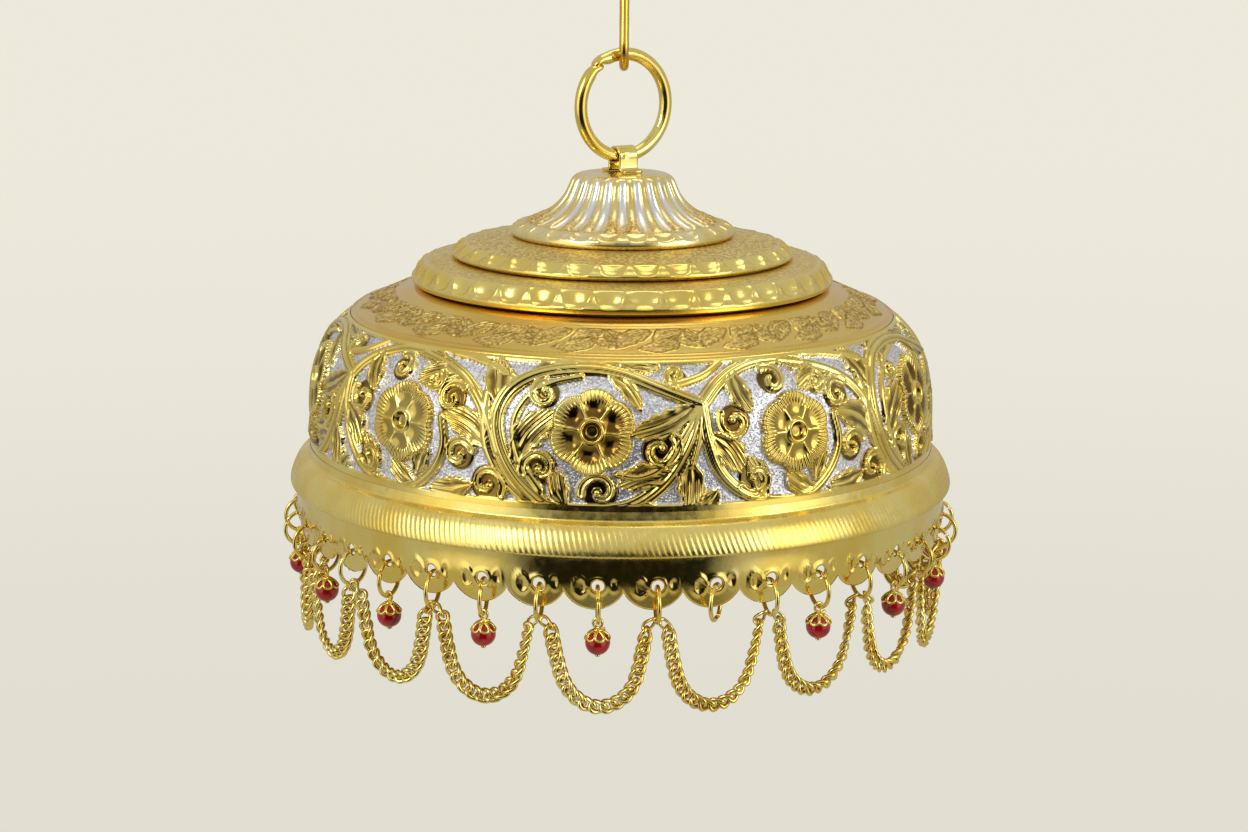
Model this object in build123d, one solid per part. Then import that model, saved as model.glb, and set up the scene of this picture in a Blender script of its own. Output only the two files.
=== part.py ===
from build123d import *
import os
from math import asin, cos, degrees, hypot, radians, sin, tan

# A hanging temple canopy (chhatra): a stamped dome with stepped tiers and a fluted
# finial, carried by a loose ring on a wire hook, and fringed with bead drops and
# chain swags that hang from a pierced, scalloped skirt.
#
# Millimetres, +Z up. Heights are first worked out from the crease under the rim,
# then everything is lowered so that the origin is the inside top of the hook,
# which is the point the canopy hangs from.

# ---- Driving dimensions -------------------------------------------------------
SHEET = 0.6                 # thickness of the pressed sheet
RIM_R = 63.5                # widest radius of the rolled rim
CREASE_R = 62.9             # crease between the rolled rim and the skirt, at height 0
BAND_R = 59.7               # foot of the embossed band
BAND_FOOT = 7.2
RIDGE_R = 51.2              # ridge between band and shoulder
RIDGE_Z = 32.2
SHOULDER_TOP = 37.4
TIER_LARGE_R = 40.0
TIER_LARGE_TOP = 42.4
TIER_SMALL_R = 32.45
TIER_SMALL_TOP = 46.4
FINIAL_R = 21.2
FINIAL_TOP = 58.4

SCALLOPS = 38               # lobes round the skirt, each with one pierced hole
SWAGS = SCALLOPS // 2       # a chain hangs from every second hole
EMPTY_PLACE = 1             # the bead place whose bead is gone
FIRST_HOLE = -3.4           # bearing of the first hole from the front, degrees
LOBE_BOTTOM = -9.5
LOBE_NOTCH = -6.4
LOBE_BOTTOM_R = 61.6
HOLE_Z = -5.2
HOLE_RADIUS = 1.0

JUMP_WIRE = 0.385           # wire radius of the small jump rings
JUMP_MAJOR = 3.115          # to the middle of the wire
JUMP_GAP = 0.42             # free height between a jump ring and its hole

EYE_WIRE = 0.25             # eye pin that carries a bead
EYE_MAJOR = 0.8
BEAD_R = 2.18
CAP_OUTER = 2.38
CAP_INNER = 2.22
PIN_HEAD_R = 0.55
PIN_HEAD = 0.3

CHAIN_D = 2.2               # round envelope of the twisted chain
CHAIN_SIDE = 1.7            # sideways step from a jump ring to the end of a swag

RING_WIRE = 1.2             # wire radius of the suspension ring
RING_MAJOR = 9.6
RING_Z = 71.15
RING_YAW = 34.0             # the ring stands turned from the front

STRAP_INNER = 1.5
STRAP_T = 0.5
STRAP_W = 4.2
STRAP_FOOT = 2.0

HOOK_WIRE = 0.9             # wire radius of the hook
HOOK_LOWER_R = 3.4
HOOK_UPPER_R = 6.5
HOOK_SPACING = 34.0         # between the two bend centres
HOOK_GAP = 0.25             # free height between hook and ring

# ---- Derived heights ----------------------------------------------------------
PITCH = 360.0 / SCALLOPS
HOOK_LOWER_Z = RING_Z + RING_MAJOR - RING_WIRE - HOOK_GAP - HOOK_WIRE + HOOK_LOWER_R
HOOK_UPPER_Z = HOOK_LOWER_Z + HOOK_SPACING
SEAT_Z = HOOK_UPPER_Z + HOOK_UPPER_R - HOOK_WIRE
STRAP_Z = RING_Z - RING_MAJOR

HOLE_R = CREASE_R + (LOBE_BOTTOM_R - CREASE_R) * HOLE_Z / LOBE_BOTTOM
SHEET_MID_R = HOLE_R - SHEET / 2
JUMP_PIVOT_Z = HOLE_Z - HOLE_RADIUS + JUMP_GAP + JUMP_WIRE
JUMP_Z = JUMP_PIVOT_Z - JUMP_MAJOR
JUMP_FOOT_Z = JUMP_Z - JUMP_MAJOR

EYE_Z = JUMP_FOOT_Z + JUMP_WIRE + EYE_WIRE + 0.02 - EYE_MAJOR
BEAD_Z = EYE_Z - EYE_MAJOR - EYE_WIRE - 0.05 - CAP_OUTER

CHORD_HALF = SHEET_MID_R * sin(radians(PITCH))
CHORD_R = SHEET_MID_R * cos(radians(PITCH))
SWAG_END = CHORD_HALF - CHAIN_SIDE
SWAG_TOP = -11.6

# A swag from its middle outwards: how far along the chord, and how high.
SWAG_HALF = [(1.5, -26.9), (4.3, -25.3), (6.2, -22.6), (7.1, -19.2), (7.9, -15.5), (SWAG_END, SWAG_TOP)]


# ---- Helpers ------------------------------------------------------------------
def side_of(points, distance):
    """The points moved sideways, to the right of the way they run."""
    moved = []
    last = len(points) - 1
    for i, (r, z) in enumerate(points):
        before = points[max(i - 1, 0)]
        after = points[min(i + 1, last)]
        along_r = after[0] - before[0]
        along_z = after[1] - before[1]
        size = hypot(along_r, along_z)
        moved.append((r + distance * along_z / size, z - distance * along_r / size))
    return moved


def turned_sheet(stretches, thickness=SHEET, flat_start=False, flat_end=False):
    """A shell turned about Z from stretches of its outer outline, run bottom to top.

    A flat start is trimmed level, so that the shell can stand on the one below.
    """
    outer = []
    inner = []
    whole = [point for stretch in stretches for point in stretch]
    moved = side_of(whole, -thickness)
    if flat_start:
        moved[0] = (whole[0][0] - thickness, whole[0][1])
    if flat_end:
        moved[-1] = (whole[-1][0], whole[-1][1] - thickness)
    start = 0
    edge = None
    for stretch in stretches:
        inside = moved[start:start + len(stretch)]
        start += len(stretch)
        if edge is not None:
            outer.append(Line(edge[0], stretch[0]))
            inner.append(Line(edge[1], inside[0]))
        outer.append(Spline(*stretch) if len(stretch) > 2 else Line(*stretch))
        inner.append(Spline(*inside) if len(inside) > 2 else Line(*inside))
        edge = (stretch[-1], inside[-1])
    ends = [Line(whole[0], moved[0]), Line(whole[-1], moved[-1])]
    face = make_face(outer + inner + ends)
    if flat_start:
        reach = 4 * RIM_R
        face -= Pos(0, whole[0][1] - reach / 2) * Rectangle(reach, reach)
    return revolve(Plane.XZ * face, Axis.Z)


def bearing(place):
    """The bearing of a hole, counted round from the front, in degrees."""
    return FIRST_HOLE + place * PITCH


def at_hole(shape, place):
    """A shape built at the front, turned round to one of the holes."""
    return Rot(0, 0, bearing(place)) * shape


def save(name, shape):
    """Write one node, lowered so that the hook's inside top is the origin."""
    shape = Pos(0, 0, -SEAT_Z) * shape
    shape.label = name
    export_step(shape, f"parts/{name}.step")


# ---- Hook, ring and strap -----------------------------------------------------
def hanging_hook():
    lean = degrees(asin((HOOK_UPPER_R + HOOK_LOWER_R) / HOOK_SPACING))
    out = cos(radians(lean))
    down = sin(radians(lean))
    upper = CenterArc((0, HOOK_UPPER_Z), HOOK_UPPER_R, 205, -205 - lean)
    lower = CenterArc((0, HOOK_LOWER_Z), HOOK_LOWER_R, 180 - lean, 190 + lean)
    shank = Line(
        (HOOK_UPPER_R * out, HOOK_UPPER_Z - HOOK_UPPER_R * down),
        (-HOOK_LOWER_R * out, HOOK_LOWER_Z + HOOK_LOWER_R * down),
    )
    path = Plane.YZ * Wire([upper, shank, lower])
    section = Plane(origin=path @ 0, z_dir=path % 0) * Circle(HOOK_WIRE)
    rod = sweep(section, path=path)
    tips = [Pos(*(path @ end)) * Sphere(HOOK_WIRE) for end in (0, 1)]
    return rod + tips


def suspension_ring():
    return Pos(0, 0, RING_Z) * Rot(0, 0, RING_YAW) * Rot(90, 0, 0) * Torus(RING_MAJOR, RING_WIRE)


def ring_strap():
    outer = STRAP_INNER + STRAP_T
    height = STRAP_Z - FINIAL_TOP
    legs = Pos(0, STRAP_Z - height / 2)
    foot_width = 2 * (outer + STRAP_FOOT)
    outline = Pos(0, STRAP_Z) * Circle(outer) + legs * Rectangle(2 * outer, height)
    outline += Pos(0, FINIAL_TOP + STRAP_T / 2) * Rectangle(foot_width, STRAP_T)
    outline -= Pos(0, STRAP_Z) * Circle(STRAP_INNER) + legs * Rectangle(2 * STRAP_INNER, height)
    strap = extrude(Plane.YZ * outline, STRAP_W / 2, both=True)
    return Rot(0, 0, RING_YAW) * strap


# ---- Canopy shells ------------------------------------------------------------
def finial_shell():
    lip = [(20.2, TIER_SMALL_TOP), (21.0, 46.6), (FINIAL_R, 47.3), (21.0, 48.1), (20.0, 48.7)]
    flare = [(17.2, 49.5), (14.3, 50.7), (12.2, 52.3), (10.9, 54.0), (10.0, 55.8)]
    crown = [(9.5, 57.2), (8.7, 58.1), (7.5, FINIAL_TOP)]
    top = [(5.0, FINIAL_TOP), (0.0, FINIAL_TOP)]
    return turned_sheet([lip + flare + crown, top], flat_start=True, flat_end=True)


def tier_small():
    edge = [(30.8, TIER_LARGE_TOP), (31.9, 42.6), (TIER_SMALL_R, 43.3), (31.9, 44.5), (30.8, 44.9)]
    slope = [(29.5, 45.1), (21.5, TIER_SMALL_TOP)]
    seat = [(20.0, TIER_SMALL_TOP), (16.5, TIER_SMALL_TOP)]
    return turned_sheet([edge, slope, seat], flat_start=True, flat_end=True)


def tier_large():
    edge = [(38.2, SHOULDER_TOP), (39.4, 37.7), (TIER_LARGE_R, 38.7), (39.5, 40.9), (38.1, 41.7)]
    slope = [(36.8, 41.8), (32.0, TIER_LARGE_TOP)]
    seat = [(30.5, TIER_LARGE_TOP), (26.0, TIER_LARGE_TOP)]
    return turned_sheet([edge, slope, seat], flat_start=True, flat_end=True)


def dome_shell():
    band = [(BAND_R, BAND_FOOT), (59.4, 13.0), (58.7, 20.3), (56.9, 26.0), (54.1, 29.8), (RIDGE_R, RIDGE_Z)]
    shoulder = [(46.5, 34.5), (42.0, 36.5), (38.6, SHOULDER_TOP)]
    seat = [(36.5, SHOULDER_TOP), (32.0, SHOULDER_TOP)]
    return turned_sheet([band + shoulder, seat], flat_start=True, flat_end=True)


def rim_skirt():
    """The rolled rim and its skirt, cut to lobes and pierced."""
    skirt = [(LOBE_BOTTOM_R - 0.14, LOBE_BOTTOM - 1.0), (CREASE_R, 0.0)]
    roll = [(63.35, 1.0), (RIM_R, 2.4), (63.1, 3.8), (62.1, 4.8), (60.9, 5.3)]
    cove = [(60.3, 5.7), (59.85, 6.4), (BAND_R, BAND_FOOT)]
    shell = turned_sheet([skirt, roll, cove])
    shell -= Pos(0, 0, BAND_FOOT + 1.0) * Cylinder(RIM_R + 5, 2.0)

    half_width = LOBE_BOTTOM_R * sin(radians(PITCH / 2))
    depth = LOBE_NOTCH - LOBE_BOTTOM
    lobe_radius = (half_width ** 2 + depth ** 2) / (2 * depth)
    reach = 16.0
    spread = RIM_R * 1.2 * tan(radians(PITCH / 2))
    wedge = extrude(Polygon((0, 0), (-spread, -RIM_R * 1.2), (spread, -RIM_R * 1.2), align=None), 6.0)
    wedge = Pos(0, 0, LOBE_NOTCH - 6.0) * wedge
    lobe = Pos(0, -LOBE_BOTTOM_R, LOBE_BOTTOM + lobe_radius) * Rot(90, 0, 0) * Cylinder(lobe_radius, reach)
    cutter = wedge - lobe
    hole = Pos(0, -HOLE_R, HOLE_Z) * Rot(90, 0, 0) * Cylinder(HOLE_RADIUS, 6.0)
    shell -= [at_hole(cutter, place) for place in range(SCALLOPS)]
    shell -= [at_hole(hole, place) for place in range(SCALLOPS)]
    return shell


# ---- Fringe -------------------------------------------------------------------
def jump_ring():
    return Pos(0, -SHEET_MID_R, JUMP_Z) * Rot(0, 90, 0) * Torus(JUMP_MAJOR, JUMP_WIRE)


def bead_drop():
    """A jump ring, the eye pin on it, a bead cap and a bored bead, as four solids."""
    bottom = BEAD_Z - BEAD_R
    stem_top = EYE_Z - EYE_MAJOR
    eye = Pos(0, 0, EYE_Z) * Rot(90, 0, 0) * Torus(EYE_MAJOR, EYE_WIRE)
    stem = Pos(0, 0, (stem_top + bottom) / 2) * Cylinder(EYE_WIRE, stem_top - bottom)
    head = Pos(0, 0, bottom - PIN_HEAD / 2) * Cylinder(PIN_HEAD_R, PIN_HEAD)
    pin = eye + stem + head

    bore = Pos(0, 0, BEAD_Z) * Cylinder(EYE_WIRE + 0.06, 8 * BEAD_R)
    bead = Pos(0, 0, BEAD_Z) * Sphere(BEAD_R) - bore
    cap = Pos(0, 0, BEAD_Z) * (Sphere(CAP_OUTER) - Sphere(CAP_INNER))
    cap -= Pos(0, 0, BEAD_Z - CAP_OUTER + 0.15) * Cylinder(2 * CAP_OUTER, 2 * CAP_OUTER)
    cap -= bore
    below = Pos(0, -SHEET_MID_R, 0)
    return Compound(children=[jump_ring(), below * pin, below * cap, below * bead])


def swag_points():
    """The route of a swag at the front, from one jump ring to the next but one."""
    right = [(s, -CHORD_R, z) for s, z in SWAG_HALF]
    left = [(-s, y, z) for s, y, z in reversed(right)]
    return left + right


def bend_radii(points):
    """The largest bend at each corner that its two runs leave room for."""
    radii = []
    for before, here, after in zip(points, points[1:], points[2:]):
        arriving = Vector(*here) - Vector(*before)
        leaving = Vector(*after) - Vector(*here)
        turn = arriving.get_angle(leaving)
        shorter = min(arriving.length, leaving.length)
        radii.append(0.45 * shorter / tan(radians(turn / 2)))
    return radii


def chain_swag():
    points = swag_points()
    radii = bend_radii(points)
    path = FilletPolyline(*points, radius=radii)
    section = Plane(origin=path @ 0, z_dir=path % 0) * Circle(CHAIN_D / 2)
    tube = sweep(section, path=path)
    expected = section.area * path.length
    print("swag length", round(path.length, 2), "volume ratio", round(tube.volume / expected, 4))
    print("swag bend radii", [round(radius, 1) for radius in radii])
    return tube


# ---- Write the nodes ----------------------------------------------------------
os.makedirs("parts", exist_ok=True)

save("hanging_hook", hanging_hook())
save("suspension_ring", suspension_ring())
save("ring_strap", ring_strap())
save("finial_shell", finial_shell())
save("tier_small", tier_small())
save("tier_large", tier_large())
save("dome_shell", dome_shell())
save("rim_skirt", rim_skirt())

chain_rings = [at_hole(jump_ring(), 2 * place + 1) for place in range(SWAGS)]
save("chain_jump_rings", Compound(children=chain_rings))
save("empty_jump_ring", at_hole(jump_ring(), 2 * EMPTY_PLACE))

drop = bead_drop()
swag = chain_swag()
bead_places = [place for place in range(SWAGS) if place != EMPTY_PLACE]
for number, place in enumerate(bead_places, 1):
    save(f"bead_drop_{number:02d}", at_hole(drop, 2 * place))
for place in range(SWAGS):
    save(f"chain_swag_{place + 1:02d}", at_hole(swag, 2 * place))
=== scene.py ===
from math import cos, pi, radians, sin

import bmesh
import bpy
import numpy as np
from mathutils import Matrix, Vector


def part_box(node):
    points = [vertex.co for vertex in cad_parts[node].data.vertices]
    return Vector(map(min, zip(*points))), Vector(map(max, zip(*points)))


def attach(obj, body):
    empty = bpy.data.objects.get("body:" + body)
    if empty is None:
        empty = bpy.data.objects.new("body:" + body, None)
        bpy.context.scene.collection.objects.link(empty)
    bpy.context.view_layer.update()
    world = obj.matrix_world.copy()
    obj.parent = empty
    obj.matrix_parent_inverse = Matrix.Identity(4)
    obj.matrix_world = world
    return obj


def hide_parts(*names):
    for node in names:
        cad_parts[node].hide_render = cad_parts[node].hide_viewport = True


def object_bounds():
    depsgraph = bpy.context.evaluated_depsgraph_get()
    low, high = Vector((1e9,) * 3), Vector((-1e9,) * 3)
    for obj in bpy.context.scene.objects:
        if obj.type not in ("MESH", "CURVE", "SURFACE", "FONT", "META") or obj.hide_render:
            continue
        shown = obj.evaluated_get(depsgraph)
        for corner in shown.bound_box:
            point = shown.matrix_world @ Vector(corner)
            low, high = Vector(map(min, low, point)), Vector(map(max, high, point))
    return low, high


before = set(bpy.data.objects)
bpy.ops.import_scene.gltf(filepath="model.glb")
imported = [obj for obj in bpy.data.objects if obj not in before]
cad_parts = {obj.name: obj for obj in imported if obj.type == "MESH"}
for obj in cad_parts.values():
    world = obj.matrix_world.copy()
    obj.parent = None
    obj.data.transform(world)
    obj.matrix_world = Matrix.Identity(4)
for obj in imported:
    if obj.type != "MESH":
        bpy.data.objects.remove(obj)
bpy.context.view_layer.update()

# A hanging temple canopy. Shapes are worked out in millimetres above the crease
# under the rim, on the canopy's own axis, and place() puts them in the frame.
MM = 0.001
LOBE_BOTTOM = -9.5                # lowest point of the skirt, from the crease
CREASE_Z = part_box("rim_skirt")[0].z / MM - LOBE_BOTTOM

SCALLOPS = 38
SWAGS = SCALLOPS // 2
PITCH = 2 * pi / SCALLOPS
FIRST_HOLE = radians(-3.4)
EMPTY_PLACE = 1                   # the bead place whose drop is gone
SHEET = 0.5
rng = np.random.default_rng(7)


# ---- Small helpers ------------------------------------------------------------
def place(points):
    """Millimetre points above the crease, as metre points in the frame."""
    moved = np.asarray(points, float).reshape(-1, 3).copy()
    moved[:, 2] += CREASE_Z
    return moved * MM


def smoothstep(low, high, value):
    t = np.clip((value - low) / (high - low), 0.0, 1.0)
    return t * t * (3.0 - 2.0 * t)


def rounded_line(points, step):
    """A Catmull-Rom line through the points, resampled to an even step."""
    p = np.asarray(points, float)
    if len(p) > 2:
        ends = np.vstack([2 * p[0] - p[1], p, 2 * p[-1] - p[-2]])
        t = np.linspace(0.0, 1.0, 24, endpoint=False)[:, None]
        runs = []
        for a, b, c, d in zip(ends, ends[1:], ends[2:], ends[3:]):
            runs.append(0.5 * (2 * b + (c - a) * t + (2 * a - 5 * b + 4 * c - d) * t ** 2
                               + (3 * b - a - 3 * c + d) * t ** 3))
        p = np.vstack(runs + [p[-1:]])
    return resampled(p, step)


def lengths(points):
    """How far along a line each of its points lies."""
    return np.concatenate([[0.0], np.cumsum(np.linalg.norm(np.diff(points, axis=0), axis=1))])


def resampled(points, step):
    along = lengths(points)
    count = max(2, int(round(along[-1] / step)) + 1)
    at = np.linspace(0.0, along[-1], count)
    return np.stack([np.interp(at, along, points[:, k]) for k in range(points.shape[1])], -1)


def full_turn(count):
    return np.arange(count) * 2 * pi / count


def new_object(name, data):
    item = bpy.data.objects.new(name, data)
    bpy.context.scene.collection.objects.link(item)
    return item


def make_piece(name, verts, faces, material, body, replaces=(), attributes=None, weld=None):
    """A smooth mesh from millimetre points, riding on a body; weld joins points that coincide."""
    mesh = bpy.data.meshes.new(name)
    mesh.from_pydata(place(verts).tolist(), [], [list(map(int, face)) for face in faces])
    mesh.update()
    mesh.polygons.foreach_set("use_smooth", [True] * len(mesh.polygons))
    for key, values in (attributes or {}).items():
        layer = mesh.attributes.new(key, "FLOAT", "POINT")
        layer.data.foreach_set("value", np.asarray(values, np.float32).ravel())
    mesh.materials.append(material)
    piece = new_object(name, mesh)
    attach(piece, body)
    if replaces:
        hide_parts(*replaces)
    if weld:
        welded = bmesh.new()
        welded.from_mesh(mesh)
        bmesh.ops.remove_doubles(welded, verts=welded.verts, dist=weld)
        welded.to_mesh(mesh)
        welded.free()
    return piece


def grid_faces(rows, columns, closed):
    """Quads over a grid of points stored row by row, columns running round."""
    wrap = columns if closed else columns - 1
    i = np.arange(rows - 1)[:, None] * columns
    j = np.arange(wrap)[None, :]
    k = (j + 1) % columns
    quads = np.stack([i + j, i + k, i + columns + k, i + columns + j], -1)
    return quads.reshape(-1, 4)


def turned(profile, angles, lift=None):
    """Points of a profile turned round the axis, raised along its normal by lift[row, column]."""
    along = np.gradient(profile, axis=0)
    along /= np.linalg.norm(along, axis=1)[:, None]
    normal_r, normal_z = along[:, 1], -along[:, 0]
    lift = np.zeros((len(profile), len(angles))) if lift is None else lift
    r = profile[:, 0][:, None] + lift * normal_r[:, None]
    z = profile[:, 1][:, None] + lift * normal_z[:, None]
    return np.stack([r * np.sin(angles), -r * np.cos(angles), z], -1).reshape(-1, 3)


def turned_piece(name, profile, angles, lift, material, replaces=(), attributes=None, closed=True):
    faces = grid_faces(len(profile), len(angles), closed)
    make_piece(name, turned(profile, angles, lift), faces, material, "canopy", replaces, attributes)


def reverse_piece(name, profile, angles, lift=0.0):
    """The inside of a turned sheet."""
    depth = np.full((len(profile), len(angles)), -SHEET) + lift
    faces = grid_faces(len(profile), len(angles), True)[:, ::-1]
    make_piece(name, turned(profile, angles, depth), faces, INSIDE, "canopy")


def tube(path, radius, sides=12, closed=False, flat=None, up=(0.0, 0.0, 1.0)):
    """A tube along a path. flat scales the section across and along its own normal."""
    p = np.asarray(path, float)
    count = len(p)
    if closed:
        along = np.roll(p, -1, axis=0) - np.roll(p, 1, axis=0)
    else:
        along = np.gradient(p, axis=0)
    along /= np.linalg.norm(along, axis=1)[:, None]
    radius = np.broadcast_to(radius, (count,))
    flat = np.ones((count, 2)) if flat is None else flat
    normal = np.array(up, float)
    if abs(normal @ along[0]) > 0.95:
        normal = np.array([1.0, 0.0, 0.0])
    turn = full_turn(sides)
    rings = []
    for k in range(count):
        normal = normal - along[k] * (normal @ along[k])
        normal = normal / np.linalg.norm(normal)
        across = np.cross(along[k], normal)
        ring = np.cos(turn)[:, None] * normal * flat[k, 0] + np.sin(turn)[:, None] * across * flat[k, 1]
        rings.append(p[k] + ring * radius[k])
    verts = np.vstack(rings)
    rows = count + 1 if closed else count
    faces = [tuple(face) for face in grid_faces(rows, sides, True) % len(verts)]
    if not closed:
        faces.append(tuple(range(sides))[::-1])
        faces.append(tuple(range(len(verts) - sides, len(verts))))
    return verts, faces


def joined(parts):
    """Several (verts, faces) as one."""
    verts = []
    faces = []
    start = 0
    for part_verts, part_faces in parts:
        verts.append(part_verts)
        faces.extend(tuple(int(i) + start for i in face) for face in part_faces)
        start += len(part_verts)
    return np.vstack(verts), faces


def ball(centre, radius, rings=10, sides=16, squash=1.0):
    """A closed ball, its poles on the Z axis."""
    polar = np.linspace(0, pi, rings + 1)[1:-1]
    turn = full_turn(sides)
    z = np.cos(polar)[:, None] * squash + 0 * turn
    x = np.sin(polar)[:, None] * np.cos(turn)
    y = np.sin(polar)[:, None] * np.sin(turn)
    verts = np.stack([x, y, z], -1).reshape(-1, 3)
    verts = np.vstack([verts, [[0, 0, squash], [0, 0, -squash]]]) * radius + np.array(centre)
    faces = [tuple(face[::-1]) for face in grid_faces(rings - 1, sides, True)]
    top, low = len(verts) - 2, len(verts) - 1
    last = (rings - 2) * sides
    for k in range(sides):
        faces.append((k, (k + 1) % sides, top))
        faces.append((last + (k + 1) % sides, last + k, low))
    return verts, faces


def round_axis(verts, angle):
    """Points built at the front, turned to a bearing round the canopy's axis."""
    c, s = cos(angle), sin(angle)
    x, y, z = np.asarray(verts, float).T
    return np.stack([c * x - s * y, s * x + c * y, z], -1)


def bearing(place_number):
    return FIRST_HOLE + place_number * PITCH


# ---- Materials ----------------------------------------------------------------
GOLD = (0.86, 0.63, 0.135, 1.0)
GOLD_PALE = (0.90, 0.74, 0.24, 1.0)
GOLD_DEEP = (0.80, 0.53, 0.12, 1.0)


class Wiring:
    """A node tree with a few short ways to add nodes and link them."""

    def __init__(self, tree):
        self.nodes = tree.nodes
        self.links = tree.links

    def add(self, kind, **settings):
        node = self.nodes.new(kind)
        for key, value in settings.items():
            setattr(node, key, value)
        return node

    def feed(self, target, value):
        if isinstance(value, (int, float, tuple)):
            target.default_value = value
        else:
            self.links.new(value, target)

    def ranged(self, value, low, high, to_low=0.0, to_high=1.0):
        node = self.add("ShaderNodeMapRange", interpolation_type="SMOOTHSTEP")
        self.feed(node.inputs["Value"], value)
        for key, number in (("From Min", low), ("From Max", high), ("To Min", to_low), ("To Max", to_high)):
            node.inputs[key].default_value = number
        return node.outputs["Result"]

    def math(self, operation, *values):
        node = self.add("ShaderNodeMath", operation=operation)
        for target, value in zip(node.inputs, values):
            self.feed(target, value)
        return node.outputs[0]

    def times(self, *values):
        result = values[0]
        for value in values[1:]:
            result = self.math("MULTIPLY", result, value)
        return result


class Look(Wiring):
    """A principled material with a position, a colour, a roughness and a stack of bumps."""

    def __init__(self, name, metallic=1.0, roughness=0.2):
        self.material = bpy.data.materials.new(name)
        self.material.use_nodes = True
        super().__init__(self.material.node_tree)
        self.shader = self.nodes["Principled BSDF"]
        self.shader.inputs["Metallic"].default_value = metallic
        self.shader.inputs["Roughness"].default_value = roughness
        self.place = self.add("ShaderNodeTexCoord").outputs["Object"]
        self.height = None

    def noise(self, scale, detail=3.0, stretch=None):
        node = self.add("ShaderNodeTexNoise")
        node.inputs["Scale"].default_value = scale
        node.inputs["Detail"].default_value = detail
        source = self.place
        if stretch:
            mapping = self.add("ShaderNodeMapping")
            mapping.inputs["Scale"].default_value = stretch
            self.feed(mapping.inputs["Vector"], source)
            source = mapping.outputs["Vector"]
        self.feed(node.inputs["Vector"], source)
        return node.outputs["Fac"]

    def cells(self, scale):
        node = self.add("ShaderNodeTexVoronoi")
        node.inputs["Scale"].default_value = scale
        self.feed(node.inputs["Vector"], self.place)
        return node.outputs["Distance"]

    def attribute(self, name):
        return self.add("ShaderNodeAttribute", attribute_name=name).outputs["Fac"]

    def mix(self, factor, a, b):
        node = self.add("ShaderNodeMix", data_type="RGBA")
        self.feed(node.inputs["Factor"], factor)
        self.feed(node.inputs[6], a)
        self.feed(node.inputs[7], b)
        return node.outputs[2]

    def blend(self, factor, a, b):
        node = self.add("ShaderNodeMix", data_type="FLOAT")
        self.feed(node.inputs["Factor"], factor)
        self.feed(node.inputs[2], a)
        self.feed(node.inputs[3], b)
        return node.outputs[0]

    def hatch(self):
        """Engraved lines carried by the mesh as a phase and an amount."""
        wave = self.math("SINE", self.times(self.attribute("hatch_phase"), 2 * pi))
        return self.times(wave, self.attribute("hatch_amount"))

    def bump(self, height, distance=0.0001, strength=1.0):
        node = self.add("ShaderNodeBump")
        node.inputs["Distance"].default_value = distance
        node.inputs["Strength"].default_value = strength
        self.feed(node.inputs["Height"], height)
        if self.height is not None:
            self.feed(node.inputs["Normal"], self.height)
        self.height = node.outputs["Normal"]
        self.feed(self.shader.inputs["Normal"], self.height)

    def colour(self, value):
        self.feed(self.shader.inputs["Base Color"], value)

    def roughness(self, value):
        self.feed(self.shader.inputs["Roughness"], value)


def gold_look(name, tone=GOLD, pale=GOLD_PALE, roughness=(0.13, 0.26), waviness=0.00006):
    """Polished gold plate: slow dents, faint handling haze and uneven tone."""
    look = Look(name)
    drift = look.noise(90.0, 2.0)
    look.colour(look.mix(look.ranged(drift, 0.38, 0.66), tone, pale))
    haze = look.noise(700.0, 4.0)
    look.roughness(look.ranged(haze, 0.35, 0.7, roughness[0], roughness[1]))
    look.bump(look.noise(260.0, 1.0), waviness, 0.5)
    return look


def mirror_gold():
    look = gold_look("mirror_gold", roughness=(0.08, 0.17), waviness=0.00005)
    look.bump(look.noise(1500.0, 3.0), 0.00001, 0.5)
    return look.material


def hatched_gold():
    look = gold_look("hatched_gold", tone=GOLD, pale=GOLD_PALE, roughness=(0.26, 0.38))
    look.bump(look.noise(2600.0, 3.0), 0.00002, 0.5)
    return look.material


def wire_gold(name, tone, pale, roughness):
    look = gold_look(name, tone, pale, roughness, 0.00002)
    look.bump(look.noise(900.0, 2.0, (1.0, 1.0, 0.08)), 0.000015, 0.6)
    return look.material


def sand_gold(name, tone, pale):
    """Matte gold with a fine sanded grain, brighter where it is left smooth."""
    look = Look(name)
    sand = look.attribute("sand")
    grain = look.noise(1600.0, 6.0)
    drift = look.noise(60.0, 2.0)
    base = look.mix(look.ranged(drift, 0.35, 0.68), tone, pale)
    dull = look.mix(look.ranged(grain, 0.40, 0.62), (0.42, 0.27, 0.06, 1.0), (0.90, 0.72, 0.26, 1.0))
    base = look.mix(look.times(sand, 0.75), base, dull)
    # Painted shade: the line attribute darkens the leaf outlines and midribs and the band under each tier's
    # lip to deep brown.
    look.colour(look.mix(look.times(look.attribute("line"), 0.75), base, (0.24, 0.13, 0.025, 1.0)))
    look.roughness(look.blend(sand, 0.23, 0.44))
    look.bump(look.times(grain, look.blend(sand, 0.25, 1.0)), 0.00009, 0.9)
    look.bump(look.hatch(), 0.00008, 0.9)
    return look.material


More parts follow.
